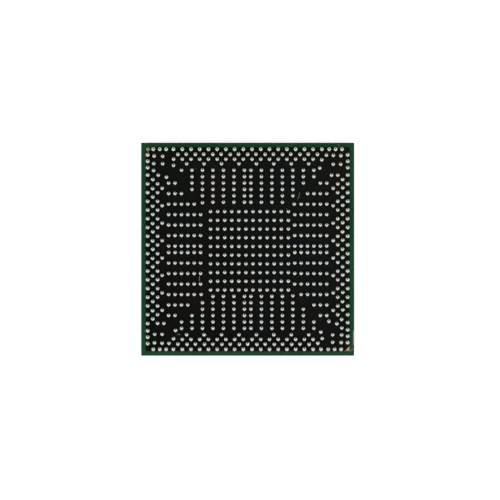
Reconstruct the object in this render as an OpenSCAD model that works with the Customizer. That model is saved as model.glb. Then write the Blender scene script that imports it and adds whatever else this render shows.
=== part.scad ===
// Flip-chip ball grid array package: a bare silicon die on a laminated board,
// with 695 solder balls in a pattern that is not a plain grid.
// The package lies on the back of its die, with the ball side up (+Z).
// The origin is on the plane of the die's back, below the centre of the square board.
// North is +Y, east is +X and the pin one corner is south-east.

/* [Board] */
// Side of the square board
board_w = 20; // [20:0.5:27]
// Radius of the board's sawn corners
board_corner_r = 0.08; // [0.04:0.02:0.3]
// Thickness of the laminate between its two solder masks
laminate_t = 0.7; // [0.4:0.05:1.4]
// Thickness of the copper layer on the ball side
copper_t = 0.015; // [0.01:0.005:0.03]
// Thickness of the solder mask on either side
mask_t = 0.02; // [0.015:0.005:0.035]
// Distance that the copper plane reaches past the outermost lands
copper_reach = 0.01; // [0.005:0.005:0.02]
// Radius of the copper plane's corners
copper_corner_r = 0.15; // [0.1:0.05:0.3]
// Width of the mask that wraps down over the copper plane's edge
mask_wrap = 0.02; // [0.01:0.01:0.05]

/* [Solder balls] */
// Diameter of a ball after it has been melted onto its land
ball_d = 0.45; // [0.4:0.01:0.5]
// Diameter of the mask opening that a ball fills
opening_d = 0.35; // [0.3:0.01:0.38]
// Width of each land that the mask covers, all round its opening
land_lap = 0.02; // [0.01:0.01:0.04]
// Gap between a land and the copper plane round it
land_gap = 0.04; // [0.03:0.01:0.06]

/* [Edge rows] */
// Distance from the board's edge to the centres of the outermost row
edge_inset = 0.637; // [0.6:0.01:0.7]
// Spacing of the balls along the edge rows
edge_pitch = 0.8175; // [0.81:0.0025:0.83]
// Distance from the outermost row in to the second row
second_row = 0.475; // [0.45:0.005:0.49]
// Distance from the outermost row in to the third row
third_row = 0.92; // [0.9:0.01:0.94]
// Distance from the outermost row in to the fourth row
fourth_row = 1.35; // [1.33:0.01:1.38]
// Least distance from the board's corner to an edge row's last ball, along the edge
corner_reach = 3.4; // [3.3:0.05:3.6]

/* [Fans] */
// Spacing of the balls along a fan's lanes
fan_pitch = 0.6; // [0.58:0.01:0.61]
// Spacing between neighbouring lanes
lane_pitch = 0.983; // [0.96:0.01:1.0]
// Spacing of the two lanes beside the middle of a side
middle_gap = 0.612; // [0.59:0.01:0.66]
// Least distance from the board's corner to a fan's outermost lane, along the edge
lane_reach = 3.75; // [3.6:0.05:3.9]
// Least gap between a lane's last ball and the core grid's outermost line, centre to centre
core_gap = 0.55; // [0.5:0.01:0.59]
// Least gap between the last ball of a lane on a fan's left and the corner's diagonal, along the lane
left_gap = 0.1; // [0.06:0.01:0.16]
// Least gap between the last ball of a lane on a fan's right and the corner's diagonal, along the lane
right_gap = 0.5; // [0.4:0.05:0.6]
// Distance that the last ball of the outermost full lane on a fan's left is moved inwards
tip_shift = 0.05; // [0:0.01:0.06]

/* [Core grid] */
// Columns of the core grid
core_columns = 12; // [6:1:12]
// Rows of the core grid
core_rows = 10; // [5:1:10]
// Distance from the board's middle to the core grid's eastmost column and southmost row
core_reach = 3.813; // [3.753:0.01:3.833]
// Spacing of the core grid's columns
core_pitch_x = 0.663; // [0.6:0.01:0.68]
// Spacing of the core grid's rows
core_pitch_y = 0.8165; // [0.65:0.01:0.83]

/* [Marks] */
// Length of the two short sides of the ball side's pin one triangle
ball_mark_leg = 0.5; // [0.4:0.02:0.54]
// Distance from the board's edge to the ball side's pin one triangle
ball_mark_inset = 0.43; // [0.4:0.01:0.48]
// Distance that the balls beside the ball side's triangle are moved along the edge
mark_push = 0.095; // [0.08:0.005:0.12]
// Length of the two short sides of the die side's pin one triangle
die_mark_leg = 0.9; // [0.6:0.1:1.4]
// Distance from the board's edge to the die side's pin one triangle
die_mark_inset = 0.5; // [0.4:0.1:1]
// Gap between a triangle and the mask round it
mark_gap = 0.03; // [0.02:0.01:0.05]

/* [Die] */
// Width of the die, east to west
die_x = 8.4; // [6:0.2:10]
// Length of the die, south to north
die_y = 7.6; // [6:0.2:10]
// Thickness of the die
die_t = 0.4; // [0.3:0.02:0.8]
// Gap between the die and the mask below it
die_gap = 0.06; // [0.05:0.01:0.09]
// Diameter of a die bump
bump_d = 0.1; // [0.08:0.01:0.12]
// Spacing of the die bumps
bump_pitch = 0.45; // [0.35:0.05:0.8]
// Least distance from the die's edge to the centres of its outermost bumps
bump_inset = 0.22; // [0.14:0.02:0.5]
// Width of the underfill that shows round the die
underfill_w = 0.85; // [0.5:0.05:1.4]
// Height that the underfill climbs up the die's sides
underfill_h = 0.28; // [0.15:0.01:0.29]
// Depth of the hollow in the underfill's sloping face
underfill_hollow = 0.05; // [0.02:0.01:0.05]

/* [Hidden] */
$fn = 24;
SIDES = ["north", "west", "south", "east"];
CORNERS = ["northwest", "southwest", "southeast", "northeast"];
MARKED_CORNER = 2;
BARE_CORNER = 0;
SHORT_FAN = 0;

// Corner balls, as distances along the edge from the board's corner
corner_run = [1.155, 1.755, 2.355, 3.035];
// Corner balls inside the outermost row, as distances from the two edges of the north-west corner
corner_inner = [[1.235, 1.265], [2.03, 1.285], [1.2, 1.97], [2.03, 1.98], [1.18, 2.62], [2.385, 3.235]];
corner_link = [3.05, 2.145];
// How far in the third row's last ball moves beside a corner, and how far along and in the second and
// third rows' last balls move beside the pin one mark
row_end_shift = 0.06;
marked_end_shift = [0.04, 0.085];
// How far every second ball of the second row moves along the edge and towards it
odd_shift = [0.04, 0.02];

// Levels, from the die's back up
mask_low_z = die_t + die_gap;
laminate_z = mask_low_z + mask_t;
copper_z = laminate_z + laminate_t;
mask_high_z = copper_z + copper_t;
ball_side_z = mask_high_z + mask_t;

// Layout
outer_y = board_w / 2 - edge_inset;
fan_y = outer_y - fourth_row - fan_pitch;
full_lane = floor((fan_y - core_reach - core_gap) / fan_pitch) + 1;
last_lane = floor((board_w / 2 - lane_reach - middle_gap / 2) / lane_pitch);
half_run = floor((board_w / 2 - corner_reach) / edge_pitch);
ball_seat = sqrt(pow(ball_d / 2, 2) - pow(opening_d / 2, 2));
land_d = opening_d + 2 * land_lap;
clearance_d = land_d + 2 * land_gap;
copper_w = 2 * outer_y + land_d + 2 * copper_reach;
cut = 0.1;

// A point turned a number of quarter turns from the north side
function turned(point, quarters) =
    quarters == 0 ? point : turned([-point[1], point[0]], quarters - 1);
function all_turned(points, quarters) = [for (point = points) turned(point, quarters)];

// The four edge rows of one side. The second row sits between the balls of the first, and the
// fourth has every second place. The rows' last balls give way to the corners.
function end_shift(i, side) =
    side == MARKED_CORNER && i < 0 || side == (MARKED_CORNER + 1) % 4 && i > 0 ? marked_end_shift : [0, 0];
function edge_points(side) = concat(
    [for (i = [-half_run:half_run - 1]) [(i + 0.5) * edge_pitch, outer_y]],
    [for (i = [-half_run:half_run])
        let (shift = abs(i) == half_run ? end_shift(i, side) : [0, 0], odd = abs(i) % 2)
        [i * edge_pitch - odd * odd_shift[0] + sign(i) * shift[0],
         outer_y - second_row + odd * odd_shift[1] - shift[1]]],
    [for (i = [-half_run - 1:half_run])
        let (last = i == half_run, first = i == -half_run - 1,
             shift = last || first ? end_shift(i, side) : [0, 0])
        [(i + 0.5) * edge_pitch + sign(i) * shift[0],
         outer_y - third_row - max(last ? row_end_shift : 0, shift[1])]],
    [for (i = [-half_run + 1:half_run - 1]) if (abs(i) % 2 == 1) [i * edge_pitch, outer_y - fourth_row]]
);

// The fan of lanes behind one side's edge rows. A lane ends before the core grid, or before the
// corner's diagonal, where it meets the next fan. The outermost left lane of the short fan has a ball
// fewer.
function lane_x(lane) = middle_gap / 2 + lane * lane_pitch;
function lane_balls(lane, gap) = min(full_lane, floor((fan_y - lane_x(lane) - gap) / fan_pitch) + 1);
function lane_points(x, count, tip) =
    [for (i = [0:1:count - 1]) [x, fan_y - i * fan_pitch - (i == count - 1 ? tip : 0)]];
function fan_points(side) = [
    for (lane = [0:last_lane])
        let (left = lane_balls(lane, left_gap),
             ends_full = left == full_lane && lane_balls(lane + 1, left_gap) < full_lane,
             missing = side == SHORT_FAN && lane == last_lane ? 1 : 0)
        each concat(lane_points(-lane_x(lane), left - missing, ends_full ? tip_shift : 0),
                    lane_points(lane_x(lane), lane_balls(lane, right_gap), 0))
];

// One corner's balls, laid out for the north-west corner
function corner_points(corner) =
    let (push = corner == MARKED_CORNER ? mark_push : 0, edge = board_w / 2)
    concat(
        [for (run = corner_run) [run + push - edge, outer_y]],
        [for (run = corner_run) [-outer_y, edge - run - push]],
        [for (inner = corner_inner) [inner[0] - edge, edge - inner[1]]],
        [[corner_link[0] + push - edge, edge - corner_link[1] - push]]
    );

// The core grid is laid out from its south-east ball
core_points = [
    for (column = [0:core_columns - 1], row = [0:core_rows - 1])
        [core_reach - column * core_pitch_x, row * core_pitch_y - core_reach]
];

// The bumps fill the die's face
bump_columns = floor((die_x - 2 * bump_inset) / bump_pitch);
bump_rows = floor((die_y - 2 * bump_inset) / bump_pitch);
bump_points = [
    for (column = [0:bump_columns], row = [0:bump_rows])
        [(column - bump_columns / 2) * bump_pitch, (row - bump_rows / 2) * bump_pitch]
];

function side_points(side) = all_turned(edge_points(side), side);
function side_fan_points(side) = all_turned(fan_points(side), side);
function turned_corner_points(corner) = all_turned(corner_points(corner), corner);
all_points = concat(core_points, [
    for (i = [0:3]) each concat(side_points(i), side_fan_points(i), turned_corner_points(i))
]);
bare_point = turned([-outer_y, outer_y], BARE_CORNER);
land_points = concat([bare_point], all_points);

// A square with round corners, centred on the origin
module rounded_square(w, r) {
    square([w, w - 2 * r], center = true);
    square([w - 2 * r, w], center = true);
    for (x = [-1, 1], y = [-1, 1])
        translate([x * (w / 2 - r), y * (w / 2 - r)]) circle(r);
}

// Discs of one size at a list of points
module discs(points, d) {
    for (point = points) translate(point) circle(d = d);
}

// A right-angled triangle that fills the south-east corner of a square of half width reach
module corner_triangle(reach, leg) {
    polygon([[reach, -reach], [reach, leg - reach], [reach - leg, -reach]]);
}

// A triangle grown by a gap on its three sides
module grown_triangle(reach, leg, gap) {
    corner_triangle(reach + gap, leg + gap * (2 + sqrt(2)));
}

module laminate() {
    color("olivedrab")
        translate([0, 0, laminate_z]) linear_extrude(laminate_t) rounded_square(board_w, board_corner_r);
}

// The copper plane, with a round clearance for each land
module ball_side_copper() {
    color("peru")
        translate([0, 0, copper_z]) linear_extrude(copper_t) difference() {
            rounded_square(copper_w, copper_corner_r);
            discs(land_points, clearance_d);
            grown_triangle(board_w / 2 - ball_mark_inset, ball_mark_leg, mark_gap + land_gap);
        }
}

// The mask stands a step higher over the copper plane than over the bare margin
module ball_side_mask() {
    color("darkgreen") difference() {
        union() {
            translate([0, 0, copper_z]) linear_extrude(mask_t) difference() {
                rounded_square(board_w, board_corner_r);
                rounded_square(copper_w, copper_corner_r);
            }
            translate([0, 0, mask_high_z]) linear_extrude(mask_t) difference() {
                rounded_square(copper_w + 2 * mask_wrap, copper_corner_r + mask_wrap);
                discs(land_points, opening_d);
            }
        }
        translate([0, 0, copper_z - cut]) linear_extrude(copper_t + mask_t + 2 * cut)
            grown_triangle(board_w / 2 - ball_mark_inset, ball_mark_leg, mark_gap);
    }
}

module die_side_mask() {
    color("darkgreen")
        translate([0, 0, mask_low_z]) linear_extrude(mask_t) difference() {
            rounded_square(board_w, board_corner_r);
            discs(bump_points, bump_d);
            grown_triangle(board_w / 2 - die_mark_inset, die_mark_leg, mark_gap);
        }
}

module ball_lands() {
    color("peru")
        translate([0, 0, copper_z]) linear_extrude(copper_t) discs(all_points, land_d);
}

// The land in the north-west corner carries no ball
module corner_land() {
    color("peru")
        translate([bare_point[0], bare_point[1], copper_z]) cylinder(d = land_d, h = copper_t);
}

module ball_side_mark() {
    color("peru")
        translate([0, 0, copper_z]) linear_extrude(copper_t)
            corner_triangle(board_w / 2 - ball_mark_inset, ball_mark_leg);
}

module die_side_mark() {
    color("goldenrod")
        translate([0, 0, laminate_z - mask_t]) linear_extrude(mask_t)
            corner_triangle(board_w / 2 - die_mark_inset, die_mark_leg);
}

module die() {
    color("slategray") translate([-die_x / 2, -die_y / 2, 0]) cube([die_x, die_y, die_t]);
}

module die_bumps() {
    color("silver")
        translate([0, 0, die_t]) linear_extrude(die_gap + mask_t) discs(bump_points, bump_d);
}

// The hollow face of the underfill: a triangle between the die's side and the mask, less a circle
// through its two far corners
module underfill_profile() {
    h = underfill_h + die_gap;
    half_chord = norm([underfill_w, h]) / 2;
    r = (pow(half_chord, 2) + pow(underfill_hollow, 2)) / (2 * underfill_hollow);
    lean = (r - underfill_hollow) / (2 * half_chord);
    difference() {
        polygon([[0, -h], [underfill_w, 0], [0, 0]]);
        translate([underfill_w / 2 + h * lean, -h / 2 - underfill_w * lean]) circle(r, $fn = 180);
    }
}

// One straight side of the underfill, along a die side of the given length
module underfill_side(length) {
    rotate([90, 0, 0]) linear_extrude(length, center = true) underfill_profile();
}

module underfill() {
    color("dimgray") difference() {
        translate([0, 0, mask_low_z]) union() {
            for (turn = [0:3]) {
                half = turn % 2 == 0 ? [die_x / 2, die_y / 2] : [die_y / 2, die_x / 2];
                rotate(90 * turn) translate([half[0], 0, 0]) underfill_side(2 * half[1]);
                rotate(90 * turn) translate(half) rotate_extrude(angle = 90) underfill_profile();
            }
            translate([-die_x / 2, -die_y / 2, -die_gap]) cube([die_x, die_y, die_gap]);
        }
        translate([0, 0, die_t - cut]) linear_extrude(die_gap + 2 * cut) discs(bump_points, bump_d);
    }
}

// Half the outline of a melted ball: a neck that fills the mask opening, and a round cap on it
module ball_profile() {
    square([opening_d / 2, mask_t]);
    intersection() {
        translate([0, mask_t + ball_seat]) circle(ball_d / 2);
        translate([0, mask_t]) square(ball_d);
    }
}

module balls(points) {
    color("silver") for (point = points)
        translate([point[0], point[1], mask_high_z]) rotate_extrude() ball_profile();
}

laminate();
ball_side_copper();
ball_side_mask();
die_side_mask();
ball_lands();
corner_land();
ball_side_mark();
die_side_mark();
die();
die_bumps();
underfill();
balls(core_points);  // core_balls
for (i = [0:3]) {
    balls(side_points(i));
    balls(side_fan_points(i));
    balls(turned_corner_points(i));
}
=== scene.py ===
import math
import random

import bmesh
import bpy
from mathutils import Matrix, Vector


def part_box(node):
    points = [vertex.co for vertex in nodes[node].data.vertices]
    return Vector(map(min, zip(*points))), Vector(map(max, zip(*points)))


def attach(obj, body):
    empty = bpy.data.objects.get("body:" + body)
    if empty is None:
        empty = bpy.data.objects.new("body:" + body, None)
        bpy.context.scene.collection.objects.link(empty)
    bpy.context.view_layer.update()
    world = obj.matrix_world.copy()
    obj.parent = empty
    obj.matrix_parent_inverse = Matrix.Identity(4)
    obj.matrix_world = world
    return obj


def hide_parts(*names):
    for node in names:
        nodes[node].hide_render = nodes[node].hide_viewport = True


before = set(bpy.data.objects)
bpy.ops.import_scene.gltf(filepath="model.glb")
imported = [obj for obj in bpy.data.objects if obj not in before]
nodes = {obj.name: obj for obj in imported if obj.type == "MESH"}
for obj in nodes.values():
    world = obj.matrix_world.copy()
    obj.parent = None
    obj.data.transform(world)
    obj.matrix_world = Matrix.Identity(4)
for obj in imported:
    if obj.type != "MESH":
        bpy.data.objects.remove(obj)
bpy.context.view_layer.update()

mm = 0.001  # the values below are in mm, unless a note says otherwise

for cadNode in nodes.values():
    cadNode.data.materials.clear()


# Inputs are a socket's name or number, with a value or another node's socket
def addNode(tree, kind, inputs=None, **settings):
    node = tree.nodes.new(kind)
    for name, value in settings.items():
        setattr(node, name, value)
    for key, value in (inputs or {}).items():
        if isinstance(value, bpy.types.NodeSocket):
            tree.links.new(value, node.inputs[key])
        else:
            node.inputs[key].default_value = value
    return node


def calc(tree, operation, first, second=0.0, clamp=False):
    node = addNode(tree, "ShaderNodeMath", {0: first, 1: second}, operation=operation, use_clamp=clamp)
    return node.outputs[0]


def vectorCalc(tree, operation, first, second=(0, 0, 0)):
    node = addNode(tree, "ShaderNodeVectorMath", {0: first, 1: second}, operation=operation)
    return node.outputs["Value" if operation in ("DISTANCE", "DOT_PRODUCT") else "Vector"]


def scaleBy(tree, vector, factor):
    node = addNode(tree, "ShaderNodeVectorMath", {0: vector, "Scale": factor}, operation="SCALE")
    return node.outputs["Vector"]


def splitUp(tree, vector):
    return addNode(tree, "ShaderNodeSeparateXYZ", {0: vector}).outputs


def joinUp(tree, **axes):
    return addNode(tree, "ShaderNodeCombineXYZ", axes).outputs[0]


def remap(tree, value, low, high, toLow=0.0, toHigh=1.0, smooth=False):
    node = addNode(tree, "ShaderNodeMapRange",
                   {"Value": value, "From Min": low, "From Max": high, "To Min": toLow, "To Max": toHigh},
                   interpolation_type="SMOOTHSTEP" if smooth else "LINEAR")
    return node.outputs[0]


def blendColours(tree, factor, first, second):
    node = addNode(tree, "ShaderNodeMix", {0: factor, 6: first, 7: second}, data_type="RGBA")
    return node.outputs[2]


def colour(red, green, blue):
    return (red, green, blue, 1.0)


def newMaterial(name, specular=0.5, metallic=0.0):
    material = bpy.data.materials.new(name)
    material.use_nodes = True
    tree = material.node_tree
    shader = tree.nodes["Principled BSDF"]
    shader.inputs["Specular IOR Level"].default_value = specular
    shader.inputs["Metallic"].default_value = metallic
    return material, tree, shader


def objectMillimetres(tree):
    return scaleBy(tree, addNode(tree, "ShaderNodeTexCoord").outputs["Object"], 1 / mm)


def addBump(tree, shader, height, depth, strength=1.0, normal=None):
    bump = addNode(tree, "ShaderNodeBump", {"Height": height, "Strength": strength, "Distance": depth * mm})
    if normal is not None:
        tree.links.new(normal, bump.inputs["Normal"])
    tree.links.new(bump.outputs[0], shader.inputs["Normal"])


# Effects that several finishes share
def newGroup(name, inputs, outputs):
    group = bpy.data.node_groups.new(name, "ShaderNodeTree")
    for socketName, kind, value in inputs:
        socket = group.interface.new_socket(socketName, in_out="INPUT", socket_type=kind)
        if value is not None:
            socket.default_value = value
    for socketName in outputs:
        group.interface.new_socket(socketName, in_out="OUTPUT", socket_type="NodeSocketFloat")
    return group, group.nodes.new("NodeGroupInput").outputs, group.nodes.new("NodeGroupOutput").inputs


def makeGrainGroup():
    group, given, result = newGroup(
        "fineGrain",
        [("Vector", "NodeSocketVector", None), ("Grain Size", "NodeSocketFloat", 0.08),
         ("Cloud Size", "NodeSocketFloat", 2.5)],
        ["Grain", "Clouds"])
    for size, outputName, detail in (("Grain Size", "Grain", 2.0), ("Cloud Size", "Clouds", 3.0)):
        scale = calc(group, "DIVIDE", 1.0, given[size])
        noise = addNode(group, "ShaderNodeTexNoise",
                        {"Vector": given["Vector"], "Scale": scale, "Detail": detail})
        group.links.new(noise.outputs["Fac"], result[outputName])
    return group


def makeScuffGroup():
    group, given, result = newGroup(
        "hairlineScuffs",
        [("Vector", "NodeSocketVector", None), ("Length", "NodeSocketFloat", 6.0),
         ("Width", "NodeSocketFloat", 0.12), ("Amount", "NodeSocketFloat", 0.3)],
        ["Mask"])
    joined = 0.0
    for turn in (0.5, 2.1, 3.9):
        turned = addNode(group, "ShaderNodeVectorRotate",
                         {"Vector": given["Vector"], "Angle": turn}, rotation_type="Z_AXIS")
        split = splitUp(group, turned.outputs[0])
        stretched = joinUp(group, X=calc(group, "DIVIDE", split["X"], given["Length"]),
                           Y=calc(group, "DIVIDE", split["Y"], given["Width"]), Z=turn)
        noise = addNode(group, "ShaderNodeTexNoise", {"Vector": stretched, "Scale": 1.0, "Detail": 1.0})
        joined = calc(group, "MAXIMUM", remap(group, noise.outputs["Fac"], 0.68, 0.74), joined)
    patches = addNode(group, "ShaderNodeTexNoise", {"Vector": given["Vector"], "Scale": 0.35})
    joined = calc(group, "MULTIPLY", joined, remap(group, patches.outputs["Fac"], 0.45, 0.6))
    group.links.new(calc(group, "MULTIPLY", joined, given["Amount"]), result["Mask"])
    return group


def makeDustGroup():
    group, given, result = newGroup(
        "dustSpecks",
        [("Vector", "NodeSocketVector", None), ("Spacing", "NodeSocketFloat", 1.0),
         ("Speck Size", "NodeSocketFloat", 0.05), ("Amount", "NodeSocketFloat", 0.5)],
        ["Mask"])
    scale = calc(group, "DIVIDE", 1.0, given["Spacing"])
    cells = addNode(group, "ShaderNodeTexVoronoi", {"Vector": given["Vector"], "Scale": scale})
    distance = calc(group, "MULTIPLY", cells.outputs["Distance"], given["Spacing"])
    chance = addNode(group, "ShaderNodeSeparateColor", {0: cells.outputs["Color"]})
    radius = calc(group, "MULTIPLY", given["Speck Size"], chance.outputs[0])
    speck = calc(group, "LESS_THAN", distance, radius)
    present = calc(group, "GREATER_THAN", chance.outputs[1], 0.6)
    mask = calc(group, "MULTIPLY", calc(group, "MULTIPLY", speck, present), given["Amount"])
    group.links.new(mask, result["Mask"])
    return group


grainGroup = makeGrainGroup()
scuffGroup = makeScuffGroup()
dustGroup = makeDustGroup()
print("effects: grain, scuffs and dust")


def useGroup(tree, group, vector, values):
    return addNode(tree, "ShaderNodeGroup", dict(values, Vector=vector), node_tree=group).outputs


def useGrain(tree, position, sizes):
    # the sizes are the grain's and the clouds'
    return useGroup(tree, grainGroup, position, {"Grain Size": sizes[0], "Cloud Size": sizes[1]})


ballSideMask = {
    "overCopper": colour(0.0044, 0.0056, 0.0036),
    "blueTint": colour(0.0034, 0.0052, 0.0070),
    "brownTint": colour(0.0074, 0.0054, 0.0040),
    "overLaminate": colour(0.0086, 0.0530, 0.0195),
    "paleGreen": colour(0.0150, 0.0660, 0.0275),
    "copperEdge": colour(0.0200, 0.0060, 0.0030),
    "edgeBlur": 0.03,
    "roughness": 0.40,
    "gloss": 0.052,
    # dark colour of the line beside the pin one triangle: part edge, part painted shadow
    "hypotenuseShadeColour": colour(0.0100, 0.0010, 0.0003),
    "scuffed": colour(0.62, 0.68, 0.60),
    # name: (start, end, width, strength)
    "edgeScuffs": {
        "eastStrip": ((9.95, -7.70), (9.93, -8.90), 0.06, 0.40),
        "cornerNick": ((9.60, -9.60), (9.90, -9.30), 0.06, 0.16),
        "northNick": ((8.54, 9.57), (8.56, 9.85), 0.04, 0.20),
        "westNick": ((-9.95, 3.1), (-9.96, 2.2), 0.03, 0.20),
    },
}
dieSideMask = {
    "overCopper": colour(0.0075, 0.0280, 0.0130),
    "blueTint": colour(0.0060, 0.0300, 0.0200),
    "brownTint": colour(0.0120, 0.0260, 0.0090),
    "overLaminate": colour(0.0135, 0.0560, 0.0240),
    "paleGreen": colour(0.0240, 0.0700, 0.0330),
    "copperEdge": colour(0.0200, 0.0200, 0.0080),
    "edgeBlur": 0.035,
    "roughness": 0.35,
    "gloss": 0.3,
}
maskFilm = {  # what both sides share
    "grain": (0.11, 2.2),
    "farGrain": (0.3, 3.5),
    "farShift": (31, 17, 5),
    "mottling": (0.6, 1.4),
    "fieldPaintedFalloff": (0.60, 1.35),   # painted light falloff, darker in the south-west and brighter in the north-east
    "marginPaintedFalloff": (1.15, 0.93),  # painted light falloff, lighter in the south and darker in the north
    "planeCorner": 0.15,
    "dust": {"Spacing": 0.9, "Speck Size": 0.035, "Amount": 0.25},
    "dustColour": colour(0.25, 0.26, 0.24),
    "scuffs": {"Length": 1.6, "Width": 0.025, "Amount": 0.05},
    "scuffColour": colour(0.35, 0.38, 0.34),
    "bumpDepth": 0.004,
}


def planeDistance(tree, position):
    # distance outwards from the copper plane's edge, in mm
    cornerRadius = maskFilm["planeCorner"]
    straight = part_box("ball_side_copper")[1].x / mm - cornerRadius
    split = splitUp(tree, position)
    reaches = [calc(tree, "SUBTRACT", calc(tree, "ABSOLUTE", split[axis]), straight) for axis in ("X", "Y")]
    squares = [calc(tree, "POWER", calc(tree, "MAXIMUM", reach, 0.0), 2.0) for reach in reaches]
    corner = calc(tree, "SQRT", calc(tree, "ADD", *squares))
    inner = calc(tree, "MINIMUM", calc(tree, "MAXIMUM", *reaches), 0.0)
    return calc(tree, "ADD", calc(tree, "ADD", corner, inner), -cornerRadius)


def streakMask(tree, position, start, end, width, strength):
    # 1 along a short line on the board, and 0 away from it
    run = Vector((end[0] - start[0], end[1] - start[1], 0))
    flat = vectorCalc(tree, "MULTIPLY", position, (1, 1, 0))
    fromStart = vectorCalc(tree, "SUBTRACT", flat, (start[0], start[1], 0))
    along = vectorCalc(tree, "DOT_PRODUCT", fromStart, run / run.length_squared)
    nearest = scaleBy(tree, run, calc(tree, "MULTIPLY", along, 1.0, clamp=True))
    away = vectorCalc(tree, "DISTANCE", fromStart, nearest)
    ragged = addNode(tree, "ShaderNodeTexNoise", {"Vector": position, "Scale": 9.0, "Detail": 2.0})
    reach = calc(tree, "MULTIPLY", ragged.outputs["Fac"], 2 * width)
    streak = remap(tree, calc(tree, "DIVIDE", away, reach), 0.4, 1.2, 1.0, 0.0)
    return calc(tree, "MULTIPLY", streak, strength)


def hypotenuseShadeLine(tree, position):
    # 1 along the long side of the pin one triangle: a dark line painted on the mask, partly the mask's edge
    # and partly painted shadow beside it
    low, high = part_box("ball_side_mark")
    reach, leg = high.x / mm, (high.x - low.x) / mm
    split = splitUp(tree, position)
    across = calc(tree, "SUBTRACT", split["X"], split["Y"])
    outwards = calc(tree, "DIVIDE", calc(tree, "SUBTRACT", 2 * reach - leg, across), math.sqrt(2))
    line = calc(tree, "MULTIPLY", remap(tree, outwards, 0.0, 0.02), remap(tree, outwards, 0.26, 0.16))
    along = calc(tree, "ABSOLUTE", calc(tree, "ADD", split["X"], split["Y"]))
    return calc(tree, "MULTIPLY", line, remap(tree, along, leg + 0.05, leg - 0.05))


def makeMaskFinish(name, values, ballSide):
    material, tree, shader = newMaterial(name, specular=values["gloss"])
    position = objectMillimetres(tree)
    grain = useGrain(tree, position, maskFilm["grain"])
    farGrain = useGrain(tree, vectorCalc(tree, "ADD", position, maskFilm["farShift"]), maskFilm["farGrain"])
    split = splitUp(tree, position)

    field = blendColours(tree, remap(tree, grain["Clouds"], 0.5, 0.68),
                         values["overCopper"], values["blueTint"])
    field = blendColours(tree, remap(tree, farGrain["Clouds"], 0.52, 0.7), field, values["brownTint"])
    # painted light: the field is scaled darker towards the south-west and brighter towards the north-east
    northEast = calc(tree, "ADD", split["X"], split["Y"])
    field = scaleBy(tree, field, remap(tree, northEast, -18.0, 18.0, *maskFilm["fieldPaintedFalloff"]))
    margin = blendColours(tree, remap(tree, farGrain["Clouds"], 0.4, 0.75),
                          values["overLaminate"], values["paleGreen"])
    # painted light: the margin is scaled lighter towards the south and darker towards the north
    margin = scaleBy(tree, margin, remap(tree, split["Y"], -10.0, 10.0, *maskFilm["marginPaintedFalloff"]))

    # the field turns to margin at the copper plane's edge, and the edge shows through
    distance, blur = planeDistance(tree, position), values["edgeBlur"]
    surface = blendColours(tree, remap(tree, distance, -blur, blur, smooth=True), field, margin)
    ridge = remap(tree, calc(tree, "ABSOLUTE", calc(tree, "ADD", distance, 0.01)), 0.02, 0.07, 0.5, 0.0)
    surface = blendColours(tree, ridge, surface, values["copperEdge"])
    if ballSide:
        # the dark line beside the triangle's long side is partly its edge and partly painted shadow
        surface = blendColours(tree, hypotenuseShadeLine(tree, position), surface, values["hypotenuseShadeColour"])
    surface = scaleBy(tree, surface, remap(tree, grain["Grain"], 0.3, 0.7, *maskFilm["mottling"]))

    dust = useGroup(tree, dustGroup, position, maskFilm["dust"])["Mask"]
    scuffs = useGroup(tree, scuffGroup, position, maskFilm["scuffs"])["Mask"]
    surface = blendColours(tree, dust, surface, maskFilm["dustColour"])
    surface = blendColours(tree, scuffs, surface, maskFilm["scuffColour"])
    if ballSide:
        for scuff in values["edgeScuffs"].values():
            surface = blendColours(tree, streakMask(tree, position, *scuff), surface, values["scuffed"])
    tree.links.new(surface, shader.inputs["Base Color"])
    rough = calc(tree, "ADD", remap(tree, grain["Grain"], 0.3, 0.7, -0.06, 0.06), values["roughness"])
    tree.links.new(calc(tree, "ADD", rough, scuffs), shader.inputs["Roughness"])
    addBump(tree, shader, grain["Grain"], maskFilm["bumpDepth"])
    return material


laminateCore = {
    "resin": colour(0.155, 0.150, 0.052),
    "paleGlass": colour(0.300, 0.290, 0.150),
    "buildUp": colour(0.095, 0.115, 0.040),
    "copperLine": colour(0.330, 0.170, 0.085),
    # shares of the board's thickness: levels of the copper, half its thickness, half the glass core
    "copperLevels": (0.13, 0.22, 0.78, 0.87),
    "copperHalf": 0.016,
    "coreHalf": 0.28,
    "gloss": 0.3,
    "bumpDepth": 0.012,
}


def makeLaminateFinish():
    material, tree, shader = newMaterial("sawnLaminate", specular=laminateCore["gloss"])
    position = objectMillimetres(tree)
    low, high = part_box("laminate")
    split = splitUp(tree, position)
    level = remap(tree, split["Z"], low.z / mm, high.z / mm)
    weave = addNode(tree, "ShaderNodeTexNoise", {"Vector": position, "Scale": 6.0, "Detail": 4.0})
    streaks = vectorCalc(tree, "MULTIPLY", position, (2, 2, 26))
    drawn = addNode(tree, "ShaderNodeTexNoise", {"Vector": streaks, "Scale": 1.0, "Detail": 3.0})
    fibres = drawn.outputs["Fac"]
    core = blendColours(tree, remap(tree, fibres, 0.42, 0.66),
                        laminateCore["resin"], laminateCore["paleGlass"])
    fromMiddle = calc(tree, "ABSOLUTE", calc(tree, "SUBTRACT", level, 0.5))
    half = laminateCore["coreHalf"]
    surface = blendColours(tree, remap(tree, fromMiddle, half - 0.01, half + 0.01),
                           core, laminateCore["buildUp"])
    lines = 0.0
    for copperLevel in laminateCore["copperLevels"]:
        away = calc(tree, "ABSOLUTE", calc(tree, "SUBTRACT", level, copperLevel))
        lines = calc(tree, "MAXIMUM", calc(tree, "LESS_THAN", away, laminateCore["copperHalf"]), lines)
    broken = remap(tree, weave.outputs["Fac"], 0.42, 0.5)
    surface = blendColours(tree, calc(tree, "MULTIPLY", lines, broken), surface, laminateCore["copperLine"])
    tree.links.new(surface, shader.inputs["Base Color"])
    tree.links.new(remap(tree, fibres, 0.3, 0.7, 0.55, 0.8), shader.inputs["Roughness"])
    addBump(tree, shader, fibres, laminateCore["bumpDepth"])
    return material


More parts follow.
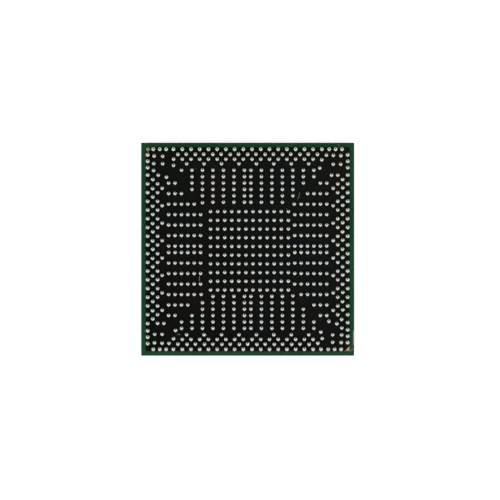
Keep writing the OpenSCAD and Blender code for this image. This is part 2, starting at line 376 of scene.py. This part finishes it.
bareCopper = {
    "tan": colour(0.440, 0.320, 0.195),
    "pale": colour(0.590, 0.490, 0.345),
    "dull": colour(0.230, 0.190, 0.130),
    "rim": colour(0.045, 0.050, 0.020),
    "roughness": 0.5,
    "metallic": 0.35,
}
coveredCopper = {
    "tan": colour(0.55, 0.24, 0.12),
    "pale": colour(0.68, 0.36, 0.2),
    "dull": colour(0.2, 0.09, 0.05),
    "roughness": 0.4,
    "metallic": 0.9,
}
platedCopper = {
    "tan": colour(0.72, 0.49, 0.16),
    "pale": colour(0.82, 0.62, 0.28),
    "dull": colour(0.42, 0.29, 0.12),
    "roughness": 0.3,
    "metallic": 0.9,
}
tarnishedLand = {
    "middle": colour(0.32, 0.30, 0.235),
    "ring": colour(0.215, 0.175, 0.115),
    "rim": colour(0.445, 0.395, 0.29),
    "metallic": 0.3,
}
copperGrain = {"gloss": 0.4, "grain": (0.05, 0.22), "landGrain": (0.05, 0.2), "bumpDepth": 0.003}


def markRim(tree, position):
    # 1 at the triangle's sides, which are drawn darker
    low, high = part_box("ball_side_mark")
    split = splitUp(tree, position)
    toEast = calc(tree, "SUBTRACT", high.x / mm, split["X"])
    toSouth = calc(tree, "MULTIPLY", calc(tree, "SUBTRACT", split["Y"], low.y / mm), 0.55)
    across = calc(tree, "SUBTRACT", split["X"], split["Y"])
    toLong = calc(tree, "DIVIDE", calc(tree, "SUBTRACT", across, (high.x - high.y) / mm), math.sqrt(2))
    nearest = calc(tree, "MINIMUM", calc(tree, "MINIMUM", toEast, toSouth), toLong)
    return remap(tree, nearest, 0.015, 0.05, 1.0, 0.0)


def makeCopperFinish(name, values):
    material, tree, shader = newMaterial(name, copperGrain["gloss"], values["metallic"])
    position = objectMillimetres(tree)
    grain = useGrain(tree, position, copperGrain["grain"])
    surface = blendColours(tree, remap(tree, grain["Clouds"], 0.4, 0.65), values["tan"], values["pale"])
    surface = blendColours(tree, remap(tree, grain["Grain"], 0.56, 0.72, 0.0, 0.6), surface, values["dull"])
    if "rim" in values:
        surface = blendColours(tree, markRim(tree, position), surface, values["rim"])
    tree.links.new(surface, shader.inputs["Base Color"])
    rough = values["roughness"]
    tree.links.new(remap(tree, grain["Grain"], 0.3, 0.7, rough - 0.1, rough + 0.12),
                   shader.inputs["Roughness"])
    addBump(tree, shader, grain["Grain"], copperGrain["bumpDepth"])
    return material


def makeCornerLandFinish():
    # a tan rim round a greyer, tarnished middle
    values = tarnishedLand
    material, tree, shader = newMaterial("tarnishedLand", copperGrain["gloss"], values["metallic"])
    position = objectMillimetres(tree)
    low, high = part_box("corner_land")
    away = vectorCalc(tree, "DISTANCE", position, (low + high) / 2 / mm)
    grain = useGrain(tree, position, copperGrain["landGrain"])
    wavy = calc(tree, "ADD", away, remap(tree, grain["Clouds"], 0.3, 0.7, -0.02, 0.02))
    surface = blendColours(tree, remap(tree, wavy, 0.04, 0.10), values["middle"], values["ring"])
    surface = blendColours(tree, remap(tree, wavy, 0.10, 0.14), surface, values["rim"])
    tree.links.new(surface, shader.inputs["Base Color"])
    tree.links.new(remap(tree, grain["Grain"], 0.3, 0.7, 0.4, 0.6), shader.inputs["Roughness"])
    addBump(tree, shader, grain["Grain"], copperGrain["bumpDepth"])
    return material


solder = {
    "bright": colour(0.555, 0.570, 0.540),
    "dull": colour(0.440, 0.457, 0.425),
    "roughness": 0.05,
    "frost": 0.06,
    "grain": (0.035, 0.16),
    "dimples": 0.004,
}


def ballNormal(tree):
    # straight out from the ball's centre, so a ball of few faces still shines as a round one
    centre = addNode(tree, "ShaderNodeAttribute", attribute_name="ballCentre").outputs["Vector"]
    position = addNode(tree, "ShaderNodeTexCoord").outputs["Object"]
    outwards = vectorCalc(tree, "SUBTRACT", position, centre)
    turned = addNode(tree, "ShaderNodeVectorTransform", {0: outwards}, vector_type="NORMAL",
                     convert_from="OBJECT", convert_to="WORLD").outputs[0]
    return vectorCalc(tree, "NORMALIZE", turned)


def makeSolderFinish(name, onBalls):
    material, tree, shader = newMaterial(name, metallic=1.0)
    position = objectMillimetres(tree)
    grain = useGrain(tree, position, solder["grain"])
    tone = remap(tree, grain["Clouds"], 0.35, 0.65)
    if onBalls:
        ballTone = addNode(tree, "ShaderNodeAttribute", attribute_name="ballTone").outputs["Fac"]
        tone = calc(tree, "MULTIPLY", calc(tree, "ADD", tone, ballTone), 0.5)
    tree.links.new(blendColours(tree, tone, solder["bright"], solder["dull"]), shader.inputs["Base Color"])
    rough = solder["roughness"]
    tree.links.new(remap(tree, tone, 0.0, 1.0, rough, rough + solder["frost"]), shader.inputs["Roughness"])
    addBump(tree, shader, grain["Grain"], solder["dimples"], normal=ballNormal(tree) if onBalls else None)
    return material


dieBack = {
    "silicon": colour(0.105, 0.115, 0.140),
    "haze": colour(0.150, 0.160, 0.185),
    "scratched": colour(0.3, 0.31, 0.33),
    "grain": (0.3, 3.0),
    "scuffs": {"Length": 3.0, "Width": 0.02, "Amount": 0.35},
    "metallic": 0.75,
    "roughness": 0.09,
    "grinding": 55.0,  # how close together the grinding lines are
}


def makeSiliconFinish():
    material, tree, shader = newMaterial("polishedSilicon", metallic=dieBack["metallic"])
    position = objectMillimetres(tree)
    grain = useGrain(tree, position, dieBack["grain"])
    scuffs = useGroup(tree, scuffGroup, position, dieBack["scuffs"])["Mask"]
    surface = blendColours(tree, grain["Clouds"], dieBack["silicon"], dieBack["haze"])
    tree.links.new(blendColours(tree, scuffs, surface, dieBack["scratched"]), shader.inputs["Base Color"])
    split = splitUp(tree, position)
    diagonal = calc(tree, "ADD", split["X"], split["Y"])
    lines = calc(tree, "SINE", calc(tree, "MULTIPLY", diagonal, dieBack["grinding"]))
    rough = remap(tree, lines, -1.0, 1.0, dieBack["roughness"], dieBack["roughness"] + 0.03)
    tree.links.new(calc(tree, "ADD", rough, scuffs), shader.inputs["Roughness"])
    return material


underfillResin = {
    "resin": colour(0.018, 0.021, 0.027),
    "filler": colour(0.060, 0.064, 0.070),
    "grain": (0.04, 0.9),
    "roughness": 0.38,
    "gloss": 0.45,
    "bumpDepth": 0.02,
}


def makeUnderfillFinish():
    material, tree, shader = newMaterial("underfillResin", specular=underfillResin["gloss"])
    position = objectMillimetres(tree)
    grain = useGrain(tree, position, underfillResin["grain"])
    surface = blendColours(tree, remap(tree, grain["Grain"], 0.5, 0.75, 0.0, 0.8),
                           underfillResin["resin"], underfillResin["filler"])
    tree.links.new(surface, shader.inputs["Base Color"])
    rough = underfillResin["roughness"]
    tree.links.new(remap(tree, grain["Clouds"], 0.3, 0.7, rough - 0.12, rough + 0.1),
                   shader.inputs["Roughness"])
    addBump(tree, shader, grain["Clouds"], underfillResin["bumpDepth"], 0.5)
    return material


copperUnderMask = makeCopperFinish("coveredCopper", coveredCopper)
finishes = {
    "laminate": makeLaminateFinish(),
    "ball_side_mask": makeMaskFinish("ballSideMask", ballSideMask, True),
    "die_side_mask": makeMaskFinish("dieSideMask", dieSideMask, False),
    "ball_side_copper": copperUnderMask,
    "ball_lands": copperUnderMask,
    "ball_side_mark": makeCopperFinish("bareCopper", bareCopper),
    "die_side_mark": makeCopperFinish("platedCopper", platedCopper),
    "corner_land": makeCornerLandFinish(),
    "die": makeSiliconFinish(),
    "underfill": makeUnderfillFinish(),
    "die_bumps": makeSolderFinish("bumpSolder", False),
}
ballSolder = makeSolderFinish("ballSolder", True)
for nodeName, finish in finishes.items():
    nodes[nodeName].data.materials.append(finish)
print("finishes:", len(finishes), "pieces of the board and die")


ballShape = {
    "segments": 12,
    "rings": 7,
    "shrink": 0.02,  # how much smaller than the others a ball may be
    "lean": 0.004,   # how far a ball may sit off its land
    "seed": 11,
}


def ballCentres(nodeName):
    # each ball's highest point is its pole
    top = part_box(nodeName)[1].z
    corners = (corner.co for corner in nodes[nodeName].data.vertices)
    return sorted({(round(place.x, 6), round(place.y, 6)) for place in corners if top - place.z < 1e-6})


def makeBallTree():
    tree = bpy.data.node_groups.new("seatedBalls", "GeometryNodeTree")
    for name, kind in (("Centres", "Geometry"), ("Ball Radius", "Float"), ("Neck Radius", "Float"),
                       ("Neck Depth", "Float"), ("Shrink", "Float"), ("Lean", "Float"), ("Seed", "Int"),
                       ("Solder", "Material")):
        tree.interface.new_socket(name, in_out="INPUT", socket_type="NodeSocket" + kind)
    tree.interface.new_socket("Balls", in_out="OUTPUT", socket_type="NodeSocketGeometry")
    given, result = tree.nodes.new("NodeGroupInput").outputs, tree.nodes.new("NodeGroupOutput").inputs
    radius = given["Ball Radius"]

    # one ball: a globe whose lowest ring is drawn down into the mask opening as a straight neck
    segments, rings = ballShape["segments"], ballShape["rings"]
    globe = addNode(tree, "GeometryNodeMeshUVSphere", {"Segments": segments, "Rings": rings, "Radius": 1.0})
    place = tree.nodes.new("GeometryNodeInputPosition").outputs[0]
    latitude = calc(tree, "ARCSINE", splitUp(tree, place)["Z"])
    share = calc(tree, "ADD", calc(tree, "DIVIDE", latitude, math.pi), 0.5)
    ring = calc(tree, "MULTIPLY", share, float(rings))
    seat = calc(tree, "ARCCOSINE", calc(tree, "DIVIDE", given["Neck Radius"], radius))
    angle = remap(tree, ring, 2.0, float(rings), calc(tree, "MULTIPLY", seat, -1.0), math.pi / 2)
    reach = calc(tree, "MULTIPLY", calc(tree, "COSINE", angle), calc(tree, "GREATER_THAN", ring, 0.5))
    # the flats of the neck, not only its corners, reach the edge of the opening
    inNeck = calc(tree, "LESS_THAN", ring, 2.5)
    wider = remap(tree, inNeck, 0.0, 1.0, 1.0, 1 / math.cos(math.pi / segments))
    reach = calc(tree, "MULTIPLY", reach, wider)
    height = calc(tree, "MULTIPLY", calc(tree, "SINE", angle), radius)
    drop = calc(tree, "MULTIPLY", calc(tree, "LESS_THAN", ring, 1.5), given["Neck Depth"])
    compass = vectorCalc(tree, "NORMALIZE", vectorCalc(tree, "MULTIPLY", place, (1, 1, 0)))
    outwards = scaleBy(tree, compass, calc(tree, "MULTIPLY", reach, radius))
    shaped = vectorCalc(tree, "ADD", outwards, joinUp(tree, Z=calc(tree, "SUBTRACT", height, drop)))
    seated = addNode(tree, "GeometryNodeSetPosition",
                     {"Geometry": globe.outputs["Mesh"], "Position": shaped})
    smooth = addNode(tree, "GeometryNodeSetShadeSmooth", {"Geometry": seated.outputs[0]})

    # every ball is a little different
    def draw(step):
        seed = calc(tree, "ADD", given["Seed"], float(step))
        chance = addNode(tree, "FunctionNodeRandomValue", {"Seed": seed}, data_type="FLOAT")
        return next(socket for socket in chance.outputs if socket.type == "VALUE" and socket.enabled)

    def keep(geometry, name, kind, value):
        node = addNode(tree, "GeometryNodeStoreNamedAttribute", {"Geometry": geometry, "Name": name},
                       data_type=kind, domain="POINT")
        tree.links.new(value, node.inputs["Value"])
        return node.outputs[0]

    points = addNode(tree, "GeometryNodeMeshToPoints", {"Mesh": given["Centres"]}).outputs[0]
    points = keep(points, "ballTone", "FLOAT", draw(0))
    turned = joinUp(tree, Z=calc(tree, "MULTIPLY", draw(1), math.tau))
    scale = calc(tree, "SUBTRACT", 1.0, calc(tree, "MULTIPLY", draw(2), given["Shrink"]))
    shift = joinUp(tree, X=calc(tree, "SUBTRACT", draw(3), 0.5), Y=calc(tree, "SUBTRACT", draw(4), 0.5))
    offset = scaleBy(tree, shift, given["Lean"])
    points = addNode(tree, "GeometryNodeSetPosition", {"Geometry": points, "Offset": offset}).outputs[0]
    centre = tree.nodes.new("GeometryNodeInputPosition").outputs[0]
    points = keep(points, "ballCentre", "FLOAT_VECTOR", centre)

    instances = addNode(tree, "GeometryNodeInstanceOnPoints", {
        "Points": points, "Instance": smooth.outputs[0], "Rotation": turned, "Scale": scale})
    real = addNode(tree, "GeometryNodeRealizeInstances", {0: instances.outputs[0]})
    painted = addNode(tree, "GeometryNodeSetMaterial",
                      {"Geometry": real.outputs[0], "Material": given["Solder"]})
    tree.links.new(painted.outputs[0], result[0])
    return tree


def setInputs(modifier, tree, values):
    for socket in tree.interface.items_tree:
        if socket.item_type == "SOCKET" and socket.in_out == "INPUT" and socket.name in values:
            modifier[socket.identifier] = values[socket.name]


def makeBalls(tree, nodeName, seed):
    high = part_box(nodeName)[1]
    maskTop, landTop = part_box("ball_side_mask")[1].z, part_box("ball_lands")[1].z
    centres = ballCentres(nodeName)
    radius = high.x - max(x for x, y in centres)
    centreZ = high.z - radius
    seatDepth = centreZ - maskTop
    mesh = bpy.data.meshes.new(nodeName + "Centres")
    mesh.from_pydata([(x, y, centreZ) for x, y in centres], [], [])
    points = bpy.data.objects.new(nodeName + "Centres", mesh)
    bpy.context.scene.collection.objects.link(points)
    modifier = points.modifiers.new("balls", "NODES")
    modifier.node_group = tree
    setInputs(modifier, tree, {
        "Ball Radius": radius, "Neck Radius": math.sqrt(radius ** 2 - seatDepth ** 2),
        "Neck Depth": maskTop - landTop, "Shrink": ballShape["shrink"], "Lean": ballShape["lean"] * mm,
        "Seed": seed, "Solder": ballSolder})
    bpy.context.view_layer.update()
    evaluated = points.evaluated_get(bpy.context.evaluated_depsgraph_get())
    plain = bpy.data.meshes.new_from_object(evaluated)
    bpy.data.objects.remove(points)
    balls = bpy.data.objects.new("melted_" + nodeName, plain)
    bpy.context.scene.collection.objects.link(balls)
    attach(balls, "root")
    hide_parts(nodeName)
    return len(centres)


ballTree = makeBallTree()
ballNodes = sorted(name for name in nodes if name.endswith("_balls"))
ballCount = sum(makeBalls(ballTree, ballNode, ballShape["seed"] + 10 * order)
                for order, ballNode in enumerate(ballNodes))
print("solder balls:", ballCount)


# Lint and crumbs that lie on the ball side
lint = {
    "colour": colour(0.42, 0.44, 0.42),
    "pale": colour(0.68, 0.70, 0.66),
    "gloss": 0.2,
    "grain": (0.03, 0.15),
    "sides": 6,
    "endTaper": 0.6,
    # name: (points, radius)
    "fibres": {
        "hair": (((-4.515, -2.51), (-4.522, -2.70), (-4.530, -2.88), (-4.540, -3.04)), 0.014),
        "curl": (((4.87, 5.33), (4.86, 5.15), (4.82, 4.97), (4.74, 4.78), (4.67, 4.62)), 0.010),
        "shred": (((-6.58, -8.01), (-6.50, -7.99), (-6.42, -8.00), (-6.33, -8.02)), 0.013),
        "tail": (((-3.93, -8.02), (-3.88, -8.06), (-3.83, -8.12)), 0.015),
    },
    # name: (place, size)
    "crumbs": {
        "speck": ((9.48, -6.42), 0.045),
        "flake": ((0.56, -8.38), 0.06),
        "grit": ((-4.85, 7.55), 0.035),
        "chip": ((3.65, 3.78), 0.07),
    },
    "crumbFlatness": 0.6,
    "crumbLift": 0.28,
    "seed": 5,
}


def makeLintFinish():
    material, tree, shader = newMaterial("lint", specular=lint["gloss"])
    position = objectMillimetres(tree)
    grain = useGrain(tree, position, lint["grain"])
    surface = blendColours(tree, grain["Clouds"], lint["colour"], lint["pale"])
    tree.links.new(surface, shader.inputs["Base Color"])
    tree.links.new(remap(tree, grain["Grain"], 0.3, 0.7, 0.7, 0.95), shader.inputs["Roughness"])
    return material


def addFibre(mesh, points, radius, floor):
    # a round thread through the points, closed at both ends
    rings, sides, last = [], lint["sides"], len(points) - 1
    for i, (x, y) in enumerate(points):
        before, after = points[max(i - 1, 0)], points[min(i + 1, last)]
        heading = Vector((after[0] - before[0], after[1] - before[1], 0)).normalized()
        side = Vector((-heading.y, heading.x, 0))
        taper = radius * (lint["endTaper"] if i in (0, last) else 1.0)
        ring = []
        for step in range(sides):
            turn = math.tau * step / sides
            outwards = side * math.cos(turn) + Vector((0, 0, math.sin(turn)))
            ring.append(mesh.verts.new((Vector((x, y, floor + radius)) + outwards * taper) * mm))
        rings.append(ring)
    for first, second in zip(rings, rings[1:]):
        for step in range(sides):
            following = (step + 1) % sides
            mesh.faces.new((first[step], first[following], second[following], second[step]))
    mesh.faces.new(rings[0])
    mesh.faces.new(rings[-1])


def addCrumb(mesh, place, size, floor, chance):
    made = bmesh.ops.create_icosphere(mesh, subdivisions=1, radius=size / 2 * mm)["verts"]
    for vertex in made:
        vertex.co *= chance.uniform(0.65, 1.1)
        vertex.co.z *= lint["crumbFlatness"]
        vertex.co += Vector((place[0], place[1], floor + size * lint["crumbLift"])) * mm


def makeLint():
    chance = random.Random(lint["seed"])
    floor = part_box("ball_side_mask")[1].z / mm
    finish = makeLintFinish()
    parts = dict(lint["fibres"], **lint["crumbs"])
    for name, (where, size) in parts.items():
        shape = bmesh.new()
        if name in lint["fibres"]:
            addFibre(shape, where, size, floor)
        else:
            addCrumb(shape, where, size, floor, chance)
        bmesh.ops.recalc_face_normals(shape, faces=shape.faces)
        mesh = bpy.data.meshes.new("lint_" + name)
        shape.to_mesh(mesh)
        shape.free()
        mesh.materials.append(finish)
        mesh.shade_smooth()
        piece = bpy.data.objects.new("lint_" + name, mesh)
        bpy.context.scene.collection.objects.link(piece)
        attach(piece, "root")
    return len(parts)


print("lint:", makeLint(), "pieces")


studio = {
    "floorSize": 0.8,   # in metres, as the next one
    "floorDrop": 1e-5,  # how far the paper lies under the part
    "floorColour": colour(0.82, 0.82, 0.82),
    "floorGlow": 0.62,
    "roomLevel": 0.81,
    "skirtTop": 0.30,   # sine of the height up to which the tent's foot is dim
    "skirtFoot": 0.10,
    "skirtLevel": 0.12,
    "gapWidth": 0.43,   # sine of half the angle that the dark gap takes up, either side of north
    "gapFoot": 0.22,    # sine of the gap's height above the horizon
    "gapHead": 0.0,     # how far north of straight up the gap begins
    "gapLevel": 0.12,   # how bright the gap is beside the tent
    # name: (compass angle, height angle, distance and width in metres, radiance)
    "softBoxes": {
        "south": (180, 38, 0.30, 0.34, 0.62),
        "east": (90, 36, 0.30, 0.30, 0.57),
        "west": (270, 36, 0.30, 0.30, 0.57),
    },
}


def makeFloor():
    half, level = studio["floorSize"] / 2, -studio["floorDrop"]
    corners = [(-half, -half, level), (half, -half, level), (half, half, level), (-half, half, level)]
    mesh = bpy.data.meshes.new("paper")
    mesh.from_pydata(corners, [], [(0, 1, 2, 3)])
    paper = bpy.data.objects.new("paper", mesh)
    bpy.context.scene.collection.objects.link(paper)
    material, tree, shader = newMaterial("whitePaper", specular=0.1)
    shader.inputs["Base Color"].default_value = studio["floorColour"]
    shader.inputs["Roughness"].default_value = 0.9
    path = addNode(tree, "ShaderNodeLightPath").outputs
    seen = calc(tree, "ADD", calc(tree, "ADD", path["Is Camera Ray"], path["Is Glossy Ray"]),
                path["Is Transmission Ray"], clamp=True)
    tree.links.new(calc(tree, "MULTIPLY", seen, studio["floorGlow"]), shader.inputs["Emission Strength"])
    shader.inputs["Emission Color"].default_value = colour(1, 1, 1)
    mesh.materials.append(material)


def makeRoom():
    # a pale tent all round, with a dark gap in its north side
    world = bpy.data.worlds.new("paleTent")
    bpy.context.scene.world = world
    world.use_nodes = True
    tree = world.node_tree
    direction = splitUp(tree, addNode(tree, "ShaderNodeTexCoord").outputs["Generated"])
    width, foot, head = studio["gapWidth"], studio["gapFoot"], studio["gapHead"]
    beside = remap(tree, calc(tree, "ABSOLUTE", direction["X"]), width + 0.03, width - 0.03)
    above = remap(tree, direction["Z"], foot - 0.05, foot + 0.05)
    north = remap(tree, direction["Y"], head - 0.04, head + 0.04)
    gap = calc(tree, "MULTIPLY", calc(tree, "MULTIPLY", above, north), beside)
    path = addNode(tree, "ShaderNodeLightPath").outputs
    reflected = calc(tree, "ADD", path["Is Glossy Ray"], path["Is Transmission Ray"], clamp=True)
    wall = remap(tree, reflected, 0.0, 1.0, studio["roomLevel"], 1.0)
    skirt = remap(tree, direction["Z"], studio["skirtFoot"], studio["skirtTop"], studio["skirtLevel"], 1.0)
    shade = calc(tree, "MULTIPLY", skirt, remap(tree, gap, 0.0, 1.0, 1.0, studio["gapLevel"]))
    tent = calc(tree, "MULTIPLY", wall, shade)
    seen = addNode(tree, "ShaderNodeMix", {0: path["Is Camera Ray"], 2: tent, 3: 1.0})
    background = tree.nodes["Background"].inputs
    tree.links.new(seen.outputs[0], background["Strength"])
    background["Color"].default_value = colour(1, 1, 1)


def makeSoftBox(name, compass, height, distance, width, radiance):
    lamp = bpy.data.lights.new(name + "SoftBox", "AREA")
    lamp.shape = "SQUARE"
    lamp.size = width
    lamp.energy = radiance * math.pi * width * width
    box = bpy.data.objects.new(name + "SoftBox", lamp)
    bpy.context.scene.collection.objects.link(box)
    turn, rise = math.radians(compass), math.radians(height)
    direction = Vector((math.sin(turn) * math.cos(rise), math.cos(turn) * math.cos(rise), math.sin(rise)))
    box.location = direction * distance
    box.rotation_euler = direction.to_track_quat("Z", "Y").to_euler()


overheadView = {
    "frameWidth": 46.93,  # how much of the table the view takes in
    "aim": (0.2175, -0.073),
    "lens": 150,
    "sensor": 36,
}


def makeCamera():
    lens = bpy.data.cameras.new("overhead")
    lens.lens = overheadView["lens"]
    lens.sensor_width = overheadView["sensor"]
    lens.clip_start = 0.01
    lens.clip_end = 10
    camera = bpy.data.objects.new("overhead", lens)
    bpy.context.scene.collection.objects.link(camera)
    distance = overheadView["frameWidth"] * mm * overheadView["lens"] / overheadView["sensor"]
    aimX, aimY = overheadView["aim"]
    camera.location = (aimX * mm, aimY * mm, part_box("ball_side_mask")[1].z + distance)
    bpy.context.scene.camera = camera


makeFloor()
for boxName, placing in studio["softBoxes"].items():
    makeSoftBox(boxName, *placing)
makeCamera()
makeRoom()
bpy.context.scene.view_settings.view_transform = "Standard"
print("studio: paper,", len(studio["softBoxes"]), "soft boxes and the overhead camera")
